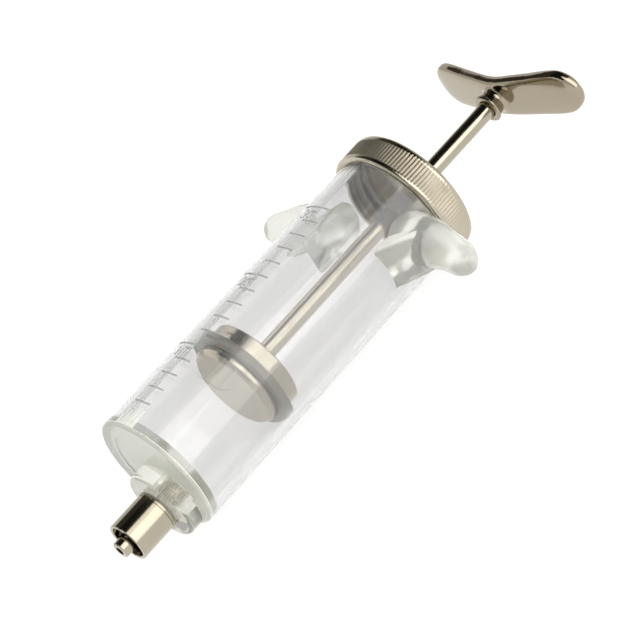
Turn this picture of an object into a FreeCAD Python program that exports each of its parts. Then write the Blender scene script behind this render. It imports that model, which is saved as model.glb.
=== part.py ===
"""Eccentric-nozzle hand syringe, 30 ml, with a T-handle plunger.

The syringe lies on its side.  X runs along the barrel from the nozzle towards the handle, Z is up
(the scale side) and the finger grips point along Y.  Lengths are millimetres.  The origin is at the
bottom centre of the whole object's box.
"""
import FreeCAD, Part
import math
import os

V = FreeCAD.Vector

# Overall
axis_height = 15.8           # barrel axis above the surface: the cap rim is the lowest part
front_x = -52.75             # outer face of the barrel's front wall
seat_gap = 0.03              # between flat faces that turn against each other
running_gap = 0.05           # round a shaft in its hole

# Barrel
barrel_radius = 14.5
bore_radius = 12.45          # 10 ml for every 20.5 mm of travel
end_wall = 2.85
barrel_length = 82.6
front_edge_round = 0.8
face_recess_radius = 10.9
face_recess_depth = 0.45
neck_length = 4.2            # threaded rear end, under the cap
neck_radius = 13.55
neck_crest_radius = 14.05
neck_pitch = 1.6

# Scale: moulded ridges on the top of the barrel
scale_zero = 2.85            # from the front face
scale_step = 4.107           # 2 ml
scale_marks = 15
marks_per_number = 5
mark_width = 0.35
mark_height = 0.12
mark_start = -15.0           # degrees from the top, about the axis
short_mark_end = 4.0
long_mark_end = 18.5

# Plain raised pad beside the scale
pad_start = 17.5
pad_end = 65.0
pad_angle_near = 20.5
pad_angle_far = 58.0
pad_height = 0.22
pad_corner = 3.0             # rounding of the pad's corners

# Boss for the nozzle
boss_offset = 6.1            # below the barrel axis
boss_radius = 8.35
boss_length = 3.45
boss_edge_round = 0.7
boss_hole_radius = 2.95

# Finger grips
grip_span = 34.8             # barrel axis to grip tip
grip_root = 11.0
rib_thickness = 10.4
rib_edge_round = 1.4
grip_drop = 0.3              # how far each wing droops at its tip

# Nozzle
gasket_thickness = 0.4
gasket_radius = 4.2
flange_radius = 4.75         # and the collar's
flange_thickness = 0.9
shank_length = 5.5
shank_radius = 2.35
shank_crest_radius = 2.78
shank_pitch = 0.9
passage_radius = 1.0
cone_tip_radius = 1.98
cone_taper = 0.03            # radius gained per millimetre, a 6 % taper on the diameter
cone_tip_x = -15.8           # from the barrel's front face
collar_length = 8.75
collar_inner_radius = 4.02
collar_thread_radius = 3.55
collar_thread_lead = 5.0

# Cap
cap_radius = 15.8
cap_length = 7.15
cap_plate = 2.05
cap_inner_radius = 14.2
knurl_front = 1.4            # from the cap's front rim
knurl_back = 5.75
knurl_teeth = 120
knurl_depth = 0.28
cap_chamfer = 0.4
cap_gasket_thickness = 1.0

# Plunger
rod_radius = 2.0
rod_front = 25.4             # from the barrel's front face
rod_thread_root = 1.6
front_plate_x = 24.2
front_plate_thickness = 2.2
plate_radius = 10.4
plate_bevel = 0.85
ring_thickness = 1.95
ring_radius = 12.42
rear_plate_radius = 10.8
rear_plate_thickness = 3.85
rear_plate_hub_radius = 4.0

# Handle
lip_x = 111.5                # from the barrel's front face
lip_radius = 3.7
lip_thickness = 1.3
handle_boss_radius = 2.95
wing_x = 115.0
wing_sweep = 0.175           # rearward rise per millimetre of span
wing_thickness = 3.1
wing_half_span = 22.9
wing_half_width = 5.5
wing_waist = 5.0
wing_end = 5.6               # length of the round end of each wing
wing_valley = 3.0            # how softly the two wings meet
wing_squareness = 4.5

os.makedirs("parts", exist_ok=True)


def cylinder(x_start, x_end, radius, z=0.0):
    """Cylinder along X, measured from the barrel's front face, z above the barrel axis."""
    base = V(front_x + x_start, 0, axis_height + z)
    return Part.makeCylinder(radius, x_end - x_start, base, V(1, 0, 0))


def turned(points, z=0.0):
    """Solid of revolution from (x, radius) points, x from the barrel's front face."""
    corners = [V(front_x + x, 0, axis_height + z + r) for x, r in points]
    face = Part.Face(Part.makePolygon(corners + [corners[0]]))
    return face.revolve(V(0, 0, axis_height + z), V(1, 0, 0), 360)


def edges_on_circle(shape, x, radius, z=0.0):
    """Circular edges of one radius about a line parallel to X, at one station."""
    found = []
    for edge in shape.Edges:
        curve = edge.Curve
        if not isinstance(curve, Part.Circle):
            continue
        centre = V(front_x + x, 0, axis_height + z)
        if abs(curve.Radius - radius) < 1e-3 and (curve.Center - centre).Length < 1e-3:
            found.append(edge)
    return found


def helix_ridge(x_start, length, root, crest, pitch, width, z=0.0, inward=False):
    """Trapezoid thread ridge wound about a line parallel to X."""
    buried = -0.06 if inward else 0.06
    helix = Part.makeHelix(pitch, length, root)
    profile = [(root - buried, -width / 2), (crest, -width / 6), (crest, width / 6), (root - buried, width / 2)]
    corners = [V(r, 0, h) for r, h in profile]
    wire = Part.makePolygon(corners + [corners[0]])
    ridge = Part.Wire(helix.Edges).makePipeShell([wire], True, True)
    ridge.rotate(V(0, 0, 0), V(0, 1, 0), 90)
    ridge.translate(V(front_x + x_start, 0, axis_height + z))
    return ridge


def sector(x_start, x_end, inner, outer, angle_start, angle_end):
    """Block of a tube wall.  Angles are from the top, positive towards +Y."""
    ring = cylinder(x_start, x_end, outer).cut(cylinder(x_start - 1, x_end + 1, inner))
    reach = outer * 1.6
    steps = 6
    corners = [V(front_x + x_start - 1, 0, axis_height)]
    for i in range(steps + 1):
        angle = math.radians(angle_start + (angle_end - angle_start) * i / steps)
        corners.append(V(front_x + x_start - 1, reach * math.sin(angle), axis_height + reach * math.cos(angle)))
    wedge = Part.Face(Part.makePolygon(corners + [corners[0]])).extrude(V(x_end - x_start + 2, 0, 0))
    return ring.common(wedge)


def save(shape, name):
    shape = shape.removeSplitter()
    shape.exportStep("parts/%s.step" % name)
    print("%-20s solids %d valid %s volume %.1f" % (name, len(shape.Solids), shape.isValid(), shape.Volume))
    return shape


# ---------------------------------------------------------------- barrel
def barrel_shell():
    neck_x = barrel_length - neck_length
    body = cylinder(0, neck_x, barrel_radius)
    body = body.makeFillet(front_edge_round, edges_on_circle(body, 0, barrel_radius))
    body = body.fuse(cylinder(neck_x, barrel_length, neck_radius))
    return body.cut(cylinder(-1, face_recess_depth, face_recess_radius))


def barrel_boss():
    boss = cylinder(-boss_length, end_wall, boss_radius, -boss_offset)
    return boss.makeFillet(boss_edge_round, edges_on_circle(boss, -boss_length, boss_radius, -boss_offset))


def rounded_section(y, x, half_length, half_width, squareness=2.0, drop=0.0):
    """Closed section square to Y: length along X, width along Z.  Squareness 2 is an ellipse."""
    points = []
    for i in range(16):
        angle = 2 * math.pi * i / 16
        across = math.copysign(abs(math.cos(angle)) ** (2 / squareness), math.cos(angle))
        up = math.copysign(abs(math.sin(angle)) ** (2 / squareness), math.sin(angle))
        points.append(V(front_x + x + half_length * across, y, axis_height - drop + half_width * up))
    curve = Part.BSplineCurve()
    curve.interpolate(points, PeriodicFlag=True)
    return Part.Wire([curve.toShape()])


def grip_wing():
    """Saddle-shaped wing, thick at the root and turned towards the nozzle at its tip."""
    sections = [
        (grip_root, 70.6, 7.4, 6.6),
        (14.8, 71.4, 6.4, 6.2),
        (19.0, 71.8, 5.3, 5.6),
        (24.0, 71.2, 4.4, 5.1),
        (28.5, 70.0, 4.0, 4.3),
        (32.6, 69.0, 3.3, 3.4),
        (grip_span, 68.7, 1.3, 1.8),
    ]
    wires = []
    for y, x, half_length, half_width in sections:
        drop = grip_drop * (y - grip_root) / (grip_span - grip_root)
        wires.append(rounded_section(y, x, half_length, half_width, drop=drop))
    return Part.makeLoft(wires, True, False)


def grip_rib():
    """Rib under the wing that carries the pull into the barrel wall."""
    outline = [(61.9, grip_root), (62.3, 14.4), (64.8, 16.9), (67.4, 19.1), (70.5, 21.5), (71.5, grip_root)]
    corners = [V(front_x + x, y, axis_height - rib_thickness / 2) for x, y in outline]
    rib = Part.Face(Part.makePolygon(corners + [corners[0]])).extrude(V(0, 0, rib_thickness))
    rounded = [edge for edge in rib.Edges if edge.BoundBox.YMin > grip_root + 1]
    return rib.makeFillet(rib_edge_round, rounded)


def grip():
    return grip_wing().fuse(grip_rib())


def scale_ridges():
    ridges = []
    for i in range(1, scale_marks + 1):
        x = scale_zero + scale_step * i
        mark_end = long_mark_end if i % marks_per_number == 0 else short_mark_end
        ridges.append(sector(x - mark_width / 2, x + mark_width / 2, barrel_radius - 0.3,
                             barrel_radius + mark_height, mark_start, mark_end))
    return ridges


def label_pad():
    """Plain pad with round corners, standing a little above the barrel wall."""
    outer = barrel_radius + pad_height
    half_width = outer * math.sin(math.radians(pad_angle_far - pad_angle_near) / 2)
    corner = V(front_x + pad_start, -half_width, axis_height)
    block = Part.makeBox(pad_end - pad_start, 2 * half_width, 2 * outer, corner)
    upright = [edge for edge in block.Edges if edge.BoundBox.ZLength > outer]
    block = block.makeFillet(pad_corner, upright)
    block.rotate(V(0, 0, axis_height), V(1, 0, 0), (pad_angle_near + pad_angle_far) / 2)
    wall = cylinder(pad_start, pad_end, outer).cut(cylinder(pad_start - 1, pad_end + 1, barrel_radius - 0.3))
    return wall.common(block)


def make_barrel():
    wing = grip()
    other_wing = wing.mirror(V(0, 0, axis_height), V(0, 1, 0))
    outer = barrel_shell().multiFuse([barrel_boss(), wing, other_wing, label_pad()] + scale_ridges())
    outer = outer.cut(cylinder(end_wall, barrel_length + 1, bore_radius))
    outer = outer.cut(cylinder(-boss_length - 1, end_wall + 1, boss_hole_radius, -boss_offset))
    thread_x = barrel_length - neck_length + 0.9
    thread = helix_ridge(thread_x, neck_length - 1.9, neck_radius, neck_crest_radius, neck_pitch, 0.9)
    return outer.fuse(thread)


# ---------------------------------------------------------------- nozzle
def make_nozzle():
    seat = -boss_length - gasket_thickness
    flange_front = seat - flange_thickness
    cone_base_radius = cone_tip_radius + cone_taper * (flange_front - cone_tip_x)
    outline = [
        (cone_tip_x, passage_radius),
        (cone_tip_x, cone_tip_radius - 0.25),
        (cone_tip_x + 0.25, cone_tip_radius),
        (flange_front, cone_base_radius),
        (flange_front, flange_radius),
        (seat, flange_radius),
        (seat, shank_radius),
        (seat + shank_length - 0.4, shank_radius),
        (seat + shank_length, shank_radius - 0.4),
        (seat + shank_length, passage_radius),
    ]
    body = turned(outline, -boss_offset)
    thread = helix_ridge(seat + 1.2, shank_length - 2.2, shank_radius, shank_crest_radius, shank_pitch,
                         0.55, -boss_offset)
    return body.fuse(thread)


def make_collar():
    back = -boss_length - gasket_thickness - flange_thickness
    front = back - collar_length
    lip = 0.15
    outline = [
        (front, collar_inner_radius + lip),
        (front, flange_radius - lip),
        (front + lip, flange_radius),
        (back - lip, flange_radius),
        (back, flange_radius - lip),
        (back, collar_inner_radius),
        (front + lip, collar_inner_radius),
    ]
    collar = turned(outline, -boss_offset)
    for start in range(2):
        thread = helix_ridge(front + 0.8, 5.2, collar_inner_radius, collar_thread_radius,
                             collar_thread_lead, 0.9, -boss_offset, inward=True)
        thread.rotate(V(0, 0, axis_height - boss_offset), V(1, 0, 0), 180 * start)
        collar = collar.fuse(thread)
    return collar


def make_nozzle_gasket():
    ring = cylinder(seat_gap - boss_length - gasket_thickness, -boss_length, gasket_radius, -boss_offset)
    return ring.cut(cylinder(-boss_length - 1, 0, boss_hole_radius, -boss_offset))


# ---------------------------------------------------------------- cap
def knurled_band(x_start, x_end):
    corners = []
    for i in range(2 * knurl_teeth):
        angle = math.pi * i / knurl_teeth
        radius = cap_radius - (knurl_depth if i % 2 else 0.0)
        corners.append(V(front_x + x_start, radius * math.sin(angle), axis_height + radius * math.cos(angle)))
    return Part.Face(Part.makePolygon(corners + [corners[0]])).extrude(V(x_end - x_start, 0, 0))


def make_cap():
    rim = barrel_length + cap_gasket_thickness + cap_plate - cap_length
    back = rim + cap_length
    front_band = cylinder(rim, rim + knurl_front, cap_radius)
    front_band = front_band.makeChamfer(0.2, edges_on_circle(front_band, rim, cap_radius))
    back_band = cylinder(rim + knurl_back, back, cap_radius)
    back_band = back_band.makeChamfer(cap_chamfer, edges_on_circle(back_band, back, cap_radius))
    cap = front_band.multiFuse([knurled_band(rim + knurl_front, rim + knurl_back), back_band])
    cap = cap.cut(cylinder(rim - 1, back - cap_plate, cap_inner_radius))
    return cap.cut(cylinder(rim, back + 1, rod_radius + running_gap))


def make_cap_gasket():
    ring = cylinder(barrel_length, barrel_length + cap_gasket_thickness - seat_gap, neck_radius)
    return ring.cut(cylinder(barrel_length - 1, barrel_length + 2, bore_radius))


# ---------------------------------------------------------------- plunger
def make_rod():
    """Rod with a threaded front end for the piston and a threaded rear end in the handle."""
    thread_end = front_plate_x + front_plate_thickness
    outline = [
        (rod_front, 0),
        (rod_front, rod_thread_root),
        (thread_end, rod_thread_root),
        (thread_end, rod_radius),
        (wing_x + 1.0, rod_radius),
        (wing_x + 1.0, 0),
    ]
    return turned(outline)


def make_front_plate():
    back = front_plate_x + front_plate_thickness
    plate = turned([
        (front_plate_x, 0),
        (front_plate_x, plate_radius - plate_bevel),
        (front_plate_x + plate_bevel, plate_radius),
        (back - 0.2, plate_radius),
        (back, plate_radius - 0.2),
        (back, 0),
    ])
    return plate.cut(cylinder(rod_front, back + 1, rod_thread_root))


def make_ring():
    """Rubber sealing ring squeezed between the plates, with a rounded sealing edge."""
    front = front_plate_x + front_plate_thickness + seat_gap
    back = front + ring_thickness - 2 * seat_gap
    ring = cylinder(front, back, ring_radius)
    round_edges = edges_on_circle(ring, front, ring_radius) + edges_on_circle(ring, back, ring_radius)
    ring = ring.makeFillet(0.3, round_edges)
    return ring.cut(cylinder(front - 1, back + 1, rod_radius + running_gap))


def make_rear_plate():
    front = front_plate_x + front_plate_thickness + ring_thickness
    back = front + rear_plate_thickness
    plate = turned([
        (front, rod_radius),
        (front, rear_plate_radius - 0.2),
        (front + 0.2, rear_plate_radius),
        (back - 0.3, rear_plate_radius),
        (back, rear_plate_radius - 0.3),
        (back, rear_plate_hub_radius),
        (back + 0.8, rear_plate_hub_radius - 0.8),
        (back + 0.8, rod_radius),
    ])
    return plate


# ---------------------------------------------------------------- handle
def handle_wings():
    """Swept bar with rounded edges: a shallow V from above, a pair of round-ended paddles from behind."""
    stations = [0.0, 5.0, 11.0, wing_half_span - wing_end]
    for fraction in (0.35, 0.62, 0.82, 0.95, 1.0):
        stations.append(wing_half_span - wing_end * (1 - fraction))
    wires = []
    for y in [-y for y in reversed(stations[1:])] + stations:
        span = abs(y)
        width = wing_waist + (wing_half_width - wing_waist) * min(1.0, span / (wing_half_span - wing_end))
        end = max(0.0, (span - wing_half_span + wing_end) / wing_end)
        taper = math.sqrt(max(0.03, 1 - end * end))
        x = wing_x + wing_sweep * math.hypot(span, wing_valley) - wing_sweep * wing_valley + wing_thickness / 2
        wires.append(rounded_section(y, x, wing_thickness / 2 * taper ** 0.4, width * taper, wing_squareness))
    return Part.makeLoft(wires, True, False)


def make_handle():
    wings = handle_wings()
    lip = cylinder(lip_x, lip_x + lip_thickness, lip_radius)
    lip = lip.makeFillet(0.35, edges_on_circle(lip, lip_x, lip_radius)
                         + edges_on_circle(lip, lip_x + lip_thickness, lip_radius))
    boss = cylinder(lip_x + lip_thickness / 2, wing_x + 1.6, handle_boss_radius)
    handle = wings.multiFuse([lip, boss])
    return handle.cut(cylinder(lip_x - 1, wing_x + 1.0, rod_radius))


save(make_barrel(), "barrel")
save(make_nozzle(), "luer_nozzle")
save(make_collar(), "luer_lock_collar")
save(make_nozzle_gasket(), "nozzle_gasket")
save(make_cap(), "end_cap")
save(make_cap_gasket(), "cap_gasket")
save(make_rod(), "plunger_rod")
save(make_front_plate(), "piston_front_plate")
save(make_ring(), "piston_ring")
save(make_rear_plate(), "piston_rear_plate")
save(make_handle(), "plunger_handle")
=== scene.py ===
"""Looks of the clear hand syringe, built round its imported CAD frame.  All lengths are metres."""
import math

import bpy
from mathutils import Matrix, Vector


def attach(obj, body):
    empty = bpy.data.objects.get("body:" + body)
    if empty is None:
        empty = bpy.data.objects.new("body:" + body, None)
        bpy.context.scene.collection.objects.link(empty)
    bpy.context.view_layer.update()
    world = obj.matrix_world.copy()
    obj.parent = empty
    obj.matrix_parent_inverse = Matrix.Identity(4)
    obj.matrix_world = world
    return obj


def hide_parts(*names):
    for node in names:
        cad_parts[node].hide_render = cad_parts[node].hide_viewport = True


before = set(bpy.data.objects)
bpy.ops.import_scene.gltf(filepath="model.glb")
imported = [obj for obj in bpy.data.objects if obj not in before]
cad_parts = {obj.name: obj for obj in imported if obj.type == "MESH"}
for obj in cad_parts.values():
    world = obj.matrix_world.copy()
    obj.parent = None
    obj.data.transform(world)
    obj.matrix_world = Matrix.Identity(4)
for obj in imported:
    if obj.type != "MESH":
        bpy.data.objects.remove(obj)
bpy.context.view_layer.update()

# Camera: where it looks, from which side, and how far it is turned about its own line of sight
AIM = Vector((-0.00322, 0.0, 0.0134))
CAMERA_DISTANCE = 0.526
HEADING = math.radians(24.57)
ELEVATION = math.radians(29.13)
ROLL = math.radians(35.22)
LENS = 143.6
SENSOR_WIDTH = 36.0
CLIP_START = 0.01
CLIP_END = 60.0

# Barrel, as part.py builds it
AXIS_Z = 0.0158
FRONT_X = -0.05275
BARREL_RADIUS = 0.0145
END_WALL = 0.00285
NECK_SHOULDER = 0.0784           # where the wall steps down to the neck, from the front face
GRIP_START = 0.060
GRIP_SIDE = 0.0109               # the grips start this far out to each side
BOSS_DROP = 0.0061               # nozzle axis below the barrel axis
BOSS_RADIUS = 0.00835
SKIN = 0.00002                   # slack of the face tests, and what counts as raised from the wall

# Looks of the barrel's faces: name, colour, share that is clear, roughness, index
BARREL_LOOKS = (
    ("clear_wall", (0.885, 0.885, 0.885), 0.94, 0.015, 1.47),
    ("thick_clear", (0.76, 0.77, 0.70), 0.55, 0.16, 1.33),
    ("scale_ridge", (0.42, 0.42, 0.41), 0.45, 0.35, 1.4),
    ("clear_boss", (0.86, 0.85, 0.76), 0.82, 0.07, 1.36),
    ("clear_grip", (0.91, 0.915, 0.86), 0.70, 0.20, 1.28),
    # painted shade: the neck's shoulder face is opaque dark olive, standing in for the cap's metal
    # thread and its shadow seen through the clear neck
    ("neck_shoulder_painted_shade", (0.30, 0.28, 0.19), 0.0, 0.4, 1.4),
    ("clear_rim", (0.88, 0.88, 0.82), 0.25, 0.30, 1.25),
)
(CLEAR_WALL, THICK_CLEAR, SCALE_RIDGE, CLEAR_BOSS, CLEAR_GRIP, SHOULDER_PAINTED_SHADE,
 CLEAR_RIM) = range(len(BARREL_LOOKS))
FLOW_SCALE = 160                 # of the faint unevenness in all clear plastic
FLOW_SHADE = (0.97, 0.97, 0.97)

# Scale and its numbers, on the top of the barrel
SCALE_STEP = 0.004107
ML_PER_STEP = 2
SCALE_SIDES = (-16, 20)          # degrees from the top, towards +Y, that the scale spans
SCALE_END = 0.066
NUMBERS = (10, 20, 30)
NUMBER_LOOK = ("numeral_ridge", (0.72, 0.72, 0.70), 0.7, 0.3, 1.3)
NUMBER_FONT_SIZE = 0.003726
NUMBER_HEIGHT = 0.00010          # above the wall
NUMBER_LIFT = 0.00001            # keeps its underside off the wall
NUMBER_BEFORE_MARK = 0.86        # in scale steps
NUMBER_CENTRE = math.radians(5.0)      # from the top, towards +Y

# Cap: outline as part.py builds it, with rounder edges and its own knurling
CAP_RIM = 0.0785                 # from the barrel's front face
CAP_BACK = 0.08565
CAP_RADIUS = 0.0158
CAP_INNER_RADIUS = 0.0142
CAP_PLATE = 0.00205
CAP_HOLE_RADIUS = 0.00205
RIM_EDGE = ((0.0, 0.0003), (0.0001, 0.0001), (0.0003, 0.0))      # behind the rim, in from the radius
BACK_EDGE = ((0.0007, 0.0), (0.0003, 0.0001), (0.0001, 0.0003), (0.0, 0.0006))   # before the back, in
KNURL_START = 0.0795
KNURL_END = 0.08425
KNURL_OVERRUN = 0.0001           # each end of the knurling slopes out from this far outside
KNURL_RUN_IN = 0.0002            # to this far inside
KNURL_TEETH = 120
KNURL_DEPTH = 0.00019
KNURL_PATTERN = (0.0, 0.15, 0.6, 1.0, 0.6, 0.15)   # share of the depth, round one tooth
SHARP_ANGLE = math.radians(35)

# Handle
HANDLE_VOXEL = 0.00022
HANDLE_SMOOTHING = 26
BOSS_SMOOTHING = 60
BOSS_BLEND = 0.010               # how far out the boss blends into the wings

# Nickel finishes: colour, roughness, scale of the cloudy polish, depth of the waviness
NICKEL = {
    "nickel_plate": ((0.47, 0.435, 0.355), 0.12, 90, 0.00006),
    "nickel_lip": ((0.53, 0.49, 0.40), 0.16, 120, 0.00004),
    "nickel_knurled": ((0.60, 0.55, 0.445), 0.45, 120, 0.00004),
    "nickel_cast": ((0.415, 0.37, 0.29), 0.12, 60, 0.00012),
}
WAVE_SCALE = 130
WAVE_STRENGTH = 0.25
DULL_SHADE = (0.86, 0.84, 0.80)  # of the plate where its polish is duller
PLATED_NODES = ("luer_nozzle", "luer_lock_collar", "plunger_rod", "piston_front_plate",
                "piston_rear_plate")

# Rubber
RUBBER_GRAIN = 300
RUBBER_RELIEF = 0.00005
RUBBER_RELIEF_STRENGTH = 0.3
RUBBER_DARK = (0.8, 0.8, 0.8)
RUBBER_LIGHT = (1.2, 1.2, 1.2)
# Rubber nodes: material, colour, roughness
RUBBER = {
    "piston_ring": ("seal_rubber", (0.26, 0.25, 0.19), 0.35),
    "nozzle_gasket": ("nozzle_gasket_rubber", (0.5, 0.5, 0.46), 0.5),
    "cap_gasket": ("cap_gasket_rubber", (0.5, 0.5, 0.46), 0.5),
}

# Studio
LIGHT_BOUNCES = 32
GLOSSY_BOUNCES = 12
WORLD_COLOUR = (0.78, 0.775, 0.76, 1)
FLOOR_SIZE = 30.0
FLOOR_COLOUR = (0.25, 0.25, 0.25, 1)
FLOOR_GLOW_COLOUR = (1.0, 0.995, 0.985, 1)
FLOOR_GLOW = 0.86
CARD_RADIUS = 1.75
CARD_LENGTH = 4.4
CARD_STEPS = 24
# Curved cards over the object: name, first and last angle up from the -Y horizon, colour, and
# whether they show through the clear plastic
CARDS = (
    ("black_card", 48, 112, (0.012, 0.012, 0.011), True),
    ("dark_card", 112, 146, (0.05, 0.046, 0.038), False),
)
# Softboxes: name, heading (0 on the -Y side, 90 on the -X side), elevation, tilt about the line to
# the object, distance, size, watts, colour, and whether bare metal mirrors it
LIGHTS = (
    ("softbox", -17, 40, -78, 1.6, (2.6, 0.9), 14.0, (1.0, 0.985, 0.955), True),
    ("near_fill", 25, 55, 0, 1.2, (1.6, 1.6), 12.0, (1.0, 1.0, 1.0), False),
    ("far_fill", 160, 45, 0, 1.2, (1.6, 1.2), 6.5, (1.0, 1.0, 1.0), False),
)


# ---------------------------------------------------------------- helpers
def linked(name, data):
    """New object in the scene."""
    piece = bpy.data.objects.new(name, data)
    bpy.context.scene.collection.objects.link(piece)
    return piece


def mesh_object(name, points, faces):
    mesh = bpy.data.meshes.new(name)
    mesh.from_pydata(points, [], faces)
    mesh.validate()
    mesh.update()
    return linked(name, mesh)


def on_barrel(along, radius, angle):
    """Point from the front face along the barrel, at an angle from the top towards +Y."""
    return (FRONT_X + along, radius * math.sin(angle), AXIS_Z + radius * math.cos(angle))


def new_material(name, roughness):
    material = bpy.data.materials.new(name)
    material.use_nodes = True
    shader = material.node_tree.nodes["Principled BSDF"]
    shader.inputs["Roughness"].default_value = roughness
    return material, shader


def noise(material, scale, detail):
    """Cloudy pattern over the object, from 0 to 1."""
    tree = material.node_tree
    coordinates = tree.nodes.new("ShaderNodeTexCoord")
    pattern = tree.nodes.new("ShaderNodeTexNoise")
    pattern.inputs["Scale"].default_value = scale
    pattern.inputs["Detail"].default_value = detail
    tree.links.new(coordinates.outputs["Object"], pattern.inputs["Vector"])
    return pattern.outputs["Fac"]


def vary_roughness(material, pattern, low, high, start=0.0, end=1.0):
    """Roughness from low to high, where the pattern goes from start to end."""
    tree = material.node_tree
    spread = tree.nodes.new("ShaderNodeMapRange")
    spread.inputs["From Min"].default_value = start
    spread.inputs["From Max"].default_value = end
    spread.inputs["To Min"].default_value = low
    spread.inputs["To Max"].default_value = high
    tree.links.new(pattern, spread.inputs["Value"])
    tree.links.new(spread.outputs["Result"], tree.nodes["Principled BSDF"].inputs["Roughness"])


def vary_colour(material, pattern, first, second):
    tree = material.node_tree
    tint = tree.nodes.new("ShaderNodeMix")
    tint.data_type = "RGBA"
    tint.inputs["A"].default_value = (*first, 1)
    tint.inputs["B"].default_value = (*second, 1)
    tree.links.new(pattern, tint.inputs["Factor"])
    tree.links.new(tint.outputs["Result"], tree.nodes["Principled BSDF"].inputs["Base Color"])


def bump(material, pattern, strength, depth):
    tree = material.node_tree
    relief = tree.nodes.new("ShaderNodeBump")
    relief.inputs["Strength"].default_value = strength
    relief.inputs["Distance"].default_value = depth
    tree.links.new(pattern, relief.inputs["Height"])
    tree.links.new(relief.outputs["Normal"], tree.nodes["Principled BSDF"].inputs["Normal"])


def shaded(colour, shade):
    return tuple(part * share for part, share in zip(colour, shade))


# ---------------------------------------------------------------- studio
def studio_camera():
    """Camera at the photograph's angle."""
    flat = Vector((math.sin(HEADING), math.cos(HEADING), 0.0))
    forward = flat * math.cos(ELEVATION) - Vector((0, 0, math.sin(ELEVATION)))
    level_right = Vector((math.cos(HEADING), -math.sin(HEADING), 0.0))
    level_up = level_right.cross(forward)
    right = level_right * math.cos(ROLL) - level_up * math.sin(ROLL)
    up = right.cross(forward)
    data = bpy.data.cameras.new("camera")
    data.lens = LENS
    data.sensor_width = SENSOR_WIDTH
    data.clip_start = CLIP_START
    data.clip_end = CLIP_END
    camera = linked("camera", data)
    rotation = Matrix((right, up, -forward)).transposed().to_4x4()
    camera.matrix_world = Matrix.Translation(AIM - forward * CAMERA_DISTANCE) @ rotation
    bpy.context.scene.camera = camera


def stage_floor():
    half = FLOOR_SIZE / 2
    corners = [(-half, -half, 0), (half, -half, 0), (half, half, 0), (-half, half, 0)]
    floor = mesh_object("floor", corners, [(0, 1, 2, 3)])
    material, shader = new_material("floor_white", 0.9)
    shader.inputs["Base Color"].default_value = FLOOR_COLOUR
    shader.inputs["Specular IOR Level"].default_value = 0.0
    shader.inputs["Emission Color"].default_value = FLOOR_GLOW_COLOUR
    shader.inputs["Emission Strength"].default_value = FLOOR_GLOW
    floor.data.materials.append(material)


def stage_card(name, start, end, colour, through_plastic):
    """Curved card over the object, about X."""
    points = []
    for i in range(CARD_STEPS + 1):
        angle = math.radians(start + (end - start) * i / CARD_STEPS)
        for x in (-CARD_LENGTH / 2, CARD_LENGTH / 2):
            points.append((x, -CARD_RADIUS * math.cos(angle), CARD_RADIUS * math.sin(angle)))
    faces = [(2 * i, 2 * i + 1, 2 * i + 3, 2 * i + 2) for i in range(CARD_STEPS)]
    card = mesh_object(name, points, faces)
    card.data.shade_smooth()
    material, shader = new_material(name, 1.0)
    shader.inputs["Base Color"].default_value = (*colour, 1)
    shader.inputs["Specular IOR Level"].default_value = 0.0
    card.data.materials.append(material)
    card.visible_transmission = through_plastic


def area_light(name, heading, elevation, tilt, distance, size, watts, colour, mirrored):
    """Rectangular softbox that faces the object."""
    around = math.radians(heading)
    height = math.radians(elevation)
    turn = math.radians(tilt)
    direction = Vector((-math.sin(around) * math.cos(height), -math.cos(around) * math.cos(height),
                        math.sin(height)))
    data = bpy.data.lights.new(name, "AREA")
    data.shape = "RECTANGLE"
    data.size, data.size_y = size
    data.energy = watts
    data.color = colour
    light = linked(name, data)
    light.location = direction * distance
    level = Vector((0, 0, 1)).cross(direction).normalized()
    across = level * math.cos(turn) + direction.cross(level) * math.sin(turn)
    light.rotation_mode = "QUATERNION"
    axes = Matrix((across, direction.cross(across), direction))
    light.rotation_quaternion = axes.transposed().to_quaternion()
    light.visible_camera = False
    light.visible_glossy = mirrored


def studio():
    scene = bpy.context.scene
    scene.view_settings.view_transform = "Standard"
    scene.cycles.max_bounces = LIGHT_BOUNCES
    scene.cycles.transmission_bounces = LIGHT_BOUNCES
    scene.cycles.glossy_bounces = GLOSSY_BOUNCES
    world = bpy.data.worlds.new("studio")
    world.use_nodes = True
    world.node_tree.nodes["Background"].inputs["Color"].default_value = WORLD_COLOUR
    world.node_tree.nodes["Background"].inputs["Strength"].default_value = 1.0
    scene.world = world
    stage_floor()
    for card in CARDS:
        stage_card(*card)
    for light in LIGHTS:
        area_light(*light)


# ---------------------------------------------------------------- materials
def nickel(name):
    """Nickel plate: uneven polish, and a faint waviness from the casting or turning under it."""
    colour, roughness, grain, waviness = NICKEL[name]
    material, shader = new_material(name, roughness)
    shader.inputs["Metallic"].default_value = 1.0
    cloud = noise(material, grain, 5)
    vary_roughness(material, cloud, roughness * 0.7, roughness * 1.5, start=0.3, end=0.75)
    vary_colour(material, cloud, colour, shaded(colour, DULL_SHADE))
    bump(material, noise(material, WAVE_SCALE, 2), WAVE_STRENGTH, waviness)
    return material


def clear_plastic(name, colour, clear, roughness, index):
    """Clear moulded plastic.  The share that isn't clear scatters, as thick or frosted plastic does."""
    material, shader = new_material(name, roughness)
    shader.inputs["Transmission Weight"].default_value = clear
    shader.inputs["IOR"].default_value = index
    flow = noise(material, FLOW_SCALE, 3)
    vary_colour(material, flow, shaded(colour, FLOW_SHADE), colour)
    vary_roughness(material, flow, roughness * 0.7, roughness * 1.4)
    return material


def rubber(name, colour, roughness):
    """Matt rubber with a faint mottle."""
    material = new_material(name, roughness)[0]
    cloud = noise(material, RUBBER_GRAIN, 6)
    vary_colour(material, cloud, shaded(colour, RUBBER_DARK), shaded(colour, RUBBER_LIGHT))
    bump(material, cloud, RUBBER_RELIEF_STRENGTH, RUBBER_RELIEF)
    return material


# ---------------------------------------------------------------- pieces
def paint(node, material):
    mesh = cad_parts[node].data
    mesh.materials.clear()
    mesh.materials.append(material)


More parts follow.
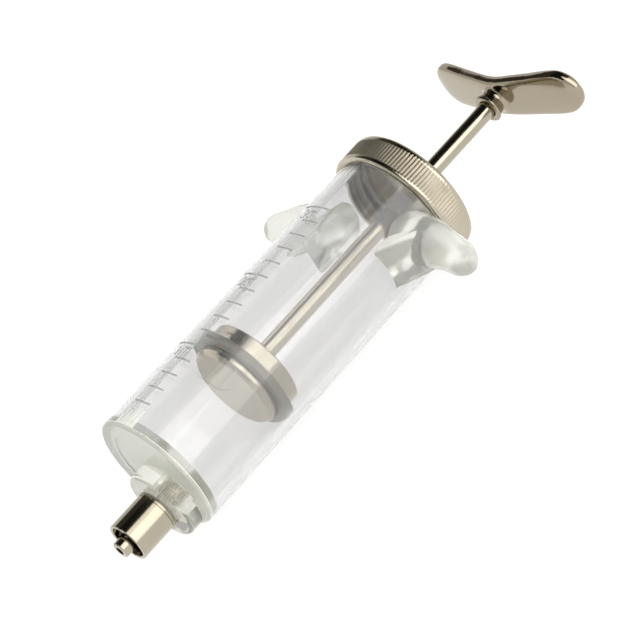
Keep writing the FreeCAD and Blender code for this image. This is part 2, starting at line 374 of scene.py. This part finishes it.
def apply_modifiers(piece):
    """Applies the piece's modifiers to its mesh."""
    evaluated = piece.evaluated_get(bpy.context.evaluated_depsgraph_get())
    mesh = bpy.data.meshes.new_from_object(evaluated)
    piece.modifiers.clear()
    piece.data = mesh


def copy_of(node, name):
    """Separate piece with the shape of a CAD node, which it stands for."""
    piece = linked(name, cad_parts[node].data.copy())
    piece.data.materials.clear()
    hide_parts(node)
    return piece


def barrel_look(x, y, z):
    """Index in BARREL_LOOKS of the barrel's face with its middle at this point."""
    along = x - FRONT_X
    radius = math.hypot(y, z - AXIS_Z)
    angle = math.degrees(math.atan2(y, z - AXIS_Z))
    raised = radius > BARREL_RADIUS + SKIN
    if along < SKIN and math.hypot(y, z - AXIS_Z + BOSS_DROP) < BOSS_RADIUS + SKIN:
        return CLEAR_BOSS
    if raised and abs(y) > GRIP_SIDE and along > GRIP_START:
        return CLEAR_GRIP
    # the shoulder face under the cap's rim gets the painted shade
    if abs(along - NECK_SHOULDER) < SKIN:
        return SHOULDER_PAINTED_SHADE
    if SKIN < along < END_WALL and radius > BARREL_RADIUS - SKIN:
        return CLEAR_RIM
    if along < END_WALL + SKIN:
        return THICK_CLEAR
    if raised and SCALE_SIDES[0] < angle < SCALE_SIDES[1] and along < SCALE_END:
        return SCALE_RIDGE
    return CLEAR_WALL


def barrel():
    """Barrel with clear walls, hazier where thick, grey part-clear scale ridges, and a painted-shade
    shoulder.
    """
    piece = copy_of("barrel", "clear_barrel")
    for look in BARREL_LOOKS:
        piece.data.materials.append(clear_plastic(*look))
    for face in piece.data.polygons:
        face.material_index = barrel_look(*face.center)
    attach(piece, "barrel")


def scale_number(number, material):
    """Raised number wrapped on the barrel below its long mark."""
    name = "numeral_%d" % number
    mark = END_WALL + SCALE_STEP * (number / ML_PER_STEP - NUMBER_BEFORE_MARK)
    curve = bpy.data.curves.new(name, "FONT")
    curve.body = str(number)
    curve.size = NUMBER_FONT_SIZE
    curve.align_x = "CENTER"
    curve.extrude = NUMBER_HEIGHT / 2
    source = bpy.data.objects.new(name, curve)
    mesh = bpy.data.meshes.new_from_object(source)
    bpy.data.objects.remove(source)
    for vertex in mesh.vertices:
        radius = BARREL_RADIUS + NUMBER_LIFT + NUMBER_HEIGHT / 2 + vertex.co.z
        vertex.co = on_barrel(mark + vertex.co.y, radius, NUMBER_CENTRE - vertex.co.x / BARREL_RADIUS)
    mesh.materials.append(material)
    piece = linked(name, mesh)
    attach(piece, "barrel")


def cap_profile():
    """Section of the cap as (along, radius, 1 where the knurling cuts in)."""
    profile = [(CAP_RIM, CAP_INNER_RADIUS, 0)]
    profile += [(CAP_RIM + behind, CAP_RADIUS - inward, 0) for behind, inward in RIM_EDGE]
    profile += [
        (KNURL_START - KNURL_OVERRUN, CAP_RADIUS, 0),
        (KNURL_START + KNURL_RUN_IN, CAP_RADIUS, 1),
        (KNURL_END - KNURL_RUN_IN, CAP_RADIUS, 1),
        (KNURL_END + KNURL_OVERRUN, CAP_RADIUS, 0),
    ]
    profile += [(CAP_BACK - before, CAP_RADIUS - inward, 0) for before, inward in BACK_EDGE]
    profile += [
        (CAP_BACK, CAP_HOLE_RADIUS, 0),
        (CAP_BACK - CAP_PLATE, CAP_HOLE_RADIUS, 0),
        (CAP_BACK - CAP_PLATE, CAP_INNER_RADIUS, 0),
    ]
    return profile


def cap():
    """Turned cap with polished lips and straight knurling between them."""
    profile = cap_profile()
    count = KNURL_TEETH * len(KNURL_PATTERN)
    points = []
    for along, radius, cut in profile:
        for i in range(count):
            groove = cut * KNURL_DEPTH * KNURL_PATTERN[i % len(KNURL_PATTERN)]
            points.append(on_barrel(along, radius - groove, 2 * math.pi * i / count))
    faces = []
    knurled = []
    for row in range(len(profile)):
        after = (row + 1) % len(profile)
        knurled += [max(profile[row][2], profile[after][2])] * count
        for i in range(count):
            j = (i + 1) % count
            faces.append((row * count + i, row * count + j, after * count + j, after * count + i))
    piece = mesh_object("turned_cap", points, faces)
    piece.data.shade_smooth()
    piece.data.set_sharp_from_angle(angle=SHARP_ANGLE)
    piece.data.materials.append(nickel("nickel_lip"))
    piece.data.materials.append(nickel("nickel_knurled"))
    for face, look in zip(piece.data.polygons, knurled):
        face.material_index = look
    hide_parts("end_cap")
    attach(piece, "cap")


def handle():
    """Cast T-handle: the CAD shape with soft, flowing joins."""
    piece = copy_of("plunger_handle", "cast_handle")
    remesh = piece.modifiers.new("cast", "REMESH")
    remesh.mode = "VOXEL"
    remesh.voxel_size = HANDLE_VOXEL
    soften = piece.modifiers.new("soften", "SMOOTH")
    soften.factor = 0.5
    soften.iterations = HANDLE_SMOOTHING
    apply_modifiers(piece)
    near_boss = piece.vertex_groups.new(name="near_boss")
    for vertex in piece.data.vertices:
        reach = math.hypot(vertex.co.y, vertex.co.z - AXIS_Z)
        near_boss.add([vertex.index], max(0.0, 1 - reach / BOSS_BLEND), "REPLACE")
    blend = piece.modifiers.new("blend", "SMOOTH")
    blend.factor = 0.9
    blend.iterations = BOSS_SMOOTHING
    blend.vertex_group = "near_boss"
    apply_modifiers(piece)
    piece.data.shade_smooth()
    piece.data.materials.append(nickel("nickel_cast"))
    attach(piece, "plunger")


studio_camera()
studio()
plate = nickel("nickel_plate")
for node in PLATED_NODES:
    paint(node, plate)
for node, (name, colour, roughness) in RUBBER.items():
    paint(node, rubber(name, colour, roughness))
cap()
barrel()
number_plastic = clear_plastic(*NUMBER_LOOK)
for number in NUMBERS:
    scale_number(number, number_plastic)
handle()

bpy.context.view_layer.update()
